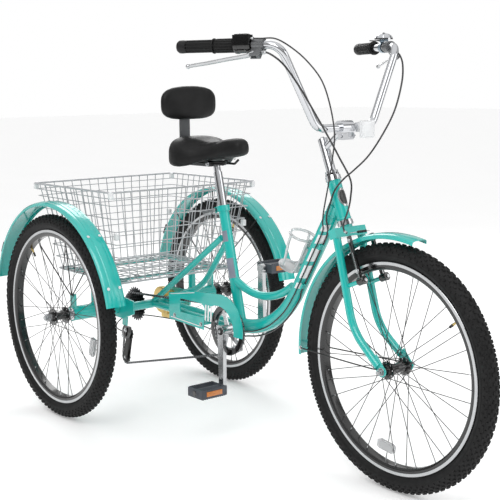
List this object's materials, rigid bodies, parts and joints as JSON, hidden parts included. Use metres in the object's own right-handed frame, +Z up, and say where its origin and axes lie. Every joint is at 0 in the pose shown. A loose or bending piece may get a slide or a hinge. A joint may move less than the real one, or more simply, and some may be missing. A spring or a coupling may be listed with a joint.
{
  "type": "adult tricycle",
  "caption": "Step-through adult tricycle with a steered front wheel, rear axle with a freewheel drive, wire basket, padded saddle with backrest and high-rise handlebar.",
  "frame": {"origin": "on the ground, midway along the length and on the centre plane", "axes": "+X forward, +Y to the rider's left, +Z up"},
  "size_m": [1.8768, 0.776, 1.2148],
  "materials": {
    "teal_paint": "gloss enamel",
    "fender_paint": "gloss enamel on pressed steel",
    "guard_paint": "gloss enamel on pressed steel",
    "chrome": "mirror plate",
    "steel": "bright zinc plate",
    "grey_steel": "satin",
    "black_steel": "satin powder coat",
    "basket_wire": "smooth plastic-coated wire",
    "clear_plastic": "milky translucent",
    "zinc": "yellow zinc plate",
    "cable_sleeve": "smooth sleeve",
    "chain_steel": "oiled dark steel",
    "vinyl": "soft grained vinyl",
    "grip_rubber": "ribbed",
    "gloss_black": "gloss moulded",
    "grey_alloy": "satin grey",
    "silver_alloy": "polished",
    "black_alloy": "semi-gloss",
    "white_plastic": "prismatic reflector",
    "tyre": "knobbed tread",
    "rim_black": "satin black with bright edge",
    "spoke": "dark steel",
    "hub_black": "gloss",
    "pedal_plastic": "dark grey moulded",
    "cog_steel": "dark oiled"
  },
  "bodies": {
    "frame": {"front_frame": "teal_paint", "axle_housings": "teal_paint", "basket_rack": "teal_paint", "bearing_cups": "chrome", "chain_guard": "guard_paint", "basket": "basket_wire", "right_fender": "fender_paint", "left_fender": "fender_paint", "fender_fittings": "black_steel", "bottle_cage": "clear_plastic", "seat_collar": "black_steel", "brake_band": "zinc", "gear_cable": "cable_sleeve", "rear_brake_cable": "cable_sleeve", "chain": "chain_steel"},
    "seat_lever": {"seat_clamp_lever": "steel"},
    "seat": {"seat_post": "chrome", "saddle_rails": "black_steel", "saddle": "vinyl", "backrest_post": "grey_steel", "backrest": "vinyl"},
    "steering": {"fork": "teal_paint", "front_axle": "steel", "front_fender": "fender_paint", "stem": "chrome", "handlebar": "chrome", "handlebar_grips": "grip_rubber", "shifter_housing": "gloss_black", "lever_clamps": "grey_alloy", "bell_base": "chrome", "front_reflector": "white_plastic", "front_brake_cable": "cable_sleeve"},
    "twist": {"twist_grip": "grip_rubber"},
    "right_lever": {"right_brake_lever": "silver_alloy"},
    "left_lever": {"left_brake_lever": "silver_alloy"},
    "bell_thumb": {"bell_lever": "steel"},
    "right_arm": {"right_brake_arm": "black_alloy"},
    "left_arm": {"left_brake_arm": "black_alloy"},
    "front_wheel": {"front_tyre": "tyre", "front_rim": "rim_black", "front_spokes": "spoke", "front_hub": "hub_black"},
    "axle": {"rear_axle": "steel", "brake_drum": "zinc", "right_tyre": "tyre", "right_rim": "rim_black", "right_spokes": "spoke", "right_hub": "hub_black"},
    "left_wheel": {"left_tyre": "tyre", "left_rim": "rim_black", "left_spokes": "spoke", "left_hub": "hub_black"},
    "crank": {"chainring": "steel", "right_crank": "silver_alloy", "left_crank": "silver_alloy"},
    "right_pedal": {"right_pedal": "pedal_plastic"},
    "left_pedal": {"left_pedal": "pedal_plastic"},
    "freewheel": {"freewheel": "cog_steel"},
    "derailleur": {"derailleur_body": "gloss_black"},
    "derailleur_cage": {"derailleur_cage": "black_steel"}
  },
  "joints": [
    {"name": "steer", "type": "hinge", "parent": "frame", "child": "steering", "pos_m": [0.41194, 0, 0.707], "axis": [-0.3746, 0, 0.9272], "range_deg": [-50, 50], "deforming": ["gear_cable", "rear_brake_cable"]},
    {"name": "front_wheel_spin", "type": "hinge", "parent": "steering", "child": "front_wheel", "pos_m": [0.60494, 0, 0.3335], "axis": [0, 1, 0], "continuous": true},
    {"name": "axle_spin", "type": "hinge", "parent": "frame", "child": "axle", "pos_m": [-0.57306, 0, 0.3335], "axis": [0, 1, 0], "continuous": true},
    {"name": "left_wheel_spin", "type": "hinge", "parent": "frame", "child": "left_wheel", "pos_m": [-0.57306, 0.34, 0.3335], "axis": [0, 1, 0], "continuous": true},
    {"name": "crank_spin", "type": "hinge", "parent": "frame", "child": "crank", "pos_m": [-0.03806, 0, 0.335], "axis": [0, 1, 0], "continuous": true, "deforming": ["chain"]},
    {"name": "right_pedal_spin", "type": "hinge", "parent": "crank", "child": "right_pedal", "pos_m": [-0.03806, -0.138, 0.16], "axis": [0, 1, 0], "continuous": true},
    {"name": "left_pedal_spin", "type": "hinge", "parent": "crank", "child": "left_pedal", "pos_m": [-0.03806, 0.138, 0.51], "axis": [0, 1, 0], "continuous": true},
    {"name": "freewheel_spin", "type": "hinge", "parent": "frame", "child": "freewheel", "pos_m": [-0.57306, -0.053, 0.3335], "axis": [0, 1, 0], "continuous": true},
    {"name": "gear_twist", "type": "hinge", "parent": "steering", "child": "twist", "pos_m": [0.25858, -0.27526, 1.175], "axis": [-0.9158, -0.4017, 0], "range_deg": [-50, 50]},
    {"name": "derailleur_shift", "type": "slide", "parent": "frame", "child": "derailleur", "axis": [0, 1, 0], "range_m": [-0.015, 0.015]},
    {"name": "derailleur_tension", "type": "hinge", "parent": "derailleur", "child": "derailleur_cage", "pos_m": [-0.59506, -0.053, 0.228], "axis": [0, 1, 0], "range_deg": [-20, 15], "stiffness_Nm_per_rad": 0.8},
    {"name": "right_brake_pull", "type": "hinge", "parent": "steering", "child": "right_lever", "pos_m": [0.34508, -0.25837, 1.15202], "axis": [-0.3077, 0.7015, -0.6428], "range_deg": [0, 14], "stiffness_Nm_per_rad": 1.2, "springref_deg": -14.32},
    {"name": "left_brake_pull", "type": "hinge", "parent": "steering", "child": "left_lever", "pos_m": [0.34508, 0.25837, 1.15202], "axis": [0.3077, 0.7015, 0.6428], "range_deg": [0, 14], "stiffness_Nm_per_rad": 1.2, "springref_deg": -14.32},
    {"name": "right_arm_swing", "type": "hinge", "parent": "steering", "child": "right_arm", "pos_m": [0.51774, -0.042, 0.55992], "axis": [-0.9272, 0, -0.3746], "range_deg": [0, 3.6], "deforming": ["front_brake_cable"]},
    {"name": "left_arm_swing", "type": "hinge", "parent": "steering", "child": "left_arm", "pos_m": [0.51774, 0.042, 0.55992], "axis": [0.9272, 0, 0.3746], "range_deg": [0, 3.6]},
    {"name": "bell_press", "type": "hinge", "parent": "steering", "child": "bell_thumb", "pos_m": [0.3016, 0.23891, 1.192], "axis": [0, 0, 1], "range_deg": [-20, 0], "stiffness_Nm_per_rad": 0.1, "springref_deg": 11.46},
    {"name": "seat_height", "type": "slide", "parent": "frame", "child": "seat", "axis": [-0.2326, 0, 0.9726], "range_m": [-0.08, 0.1]},
    {"name": "seat_lever_turn", "type": "hinge", "parent": "frame", "child": "seat_lever", "pos_m": [-0.14769, -0.017, 0.69024], "axis": [-0.2326, 0, 0.9726], "range_deg": [0, 120]}
  ],
  "couplings": [
    {"joint": "freewheel_spin", "follows": "crank_spin", "ratio": 1.8},
    {"joint": "gear_twist", "follows": "derailleur_shift", "rad_per_m": 58},
    {"joint": "right_arm_swing", "follows": "right_brake_pull", "ratio": 0.25},
    {"joint": "left_arm_swing", "follows": "right_brake_pull", "ratio": 0.25}
  ]
}
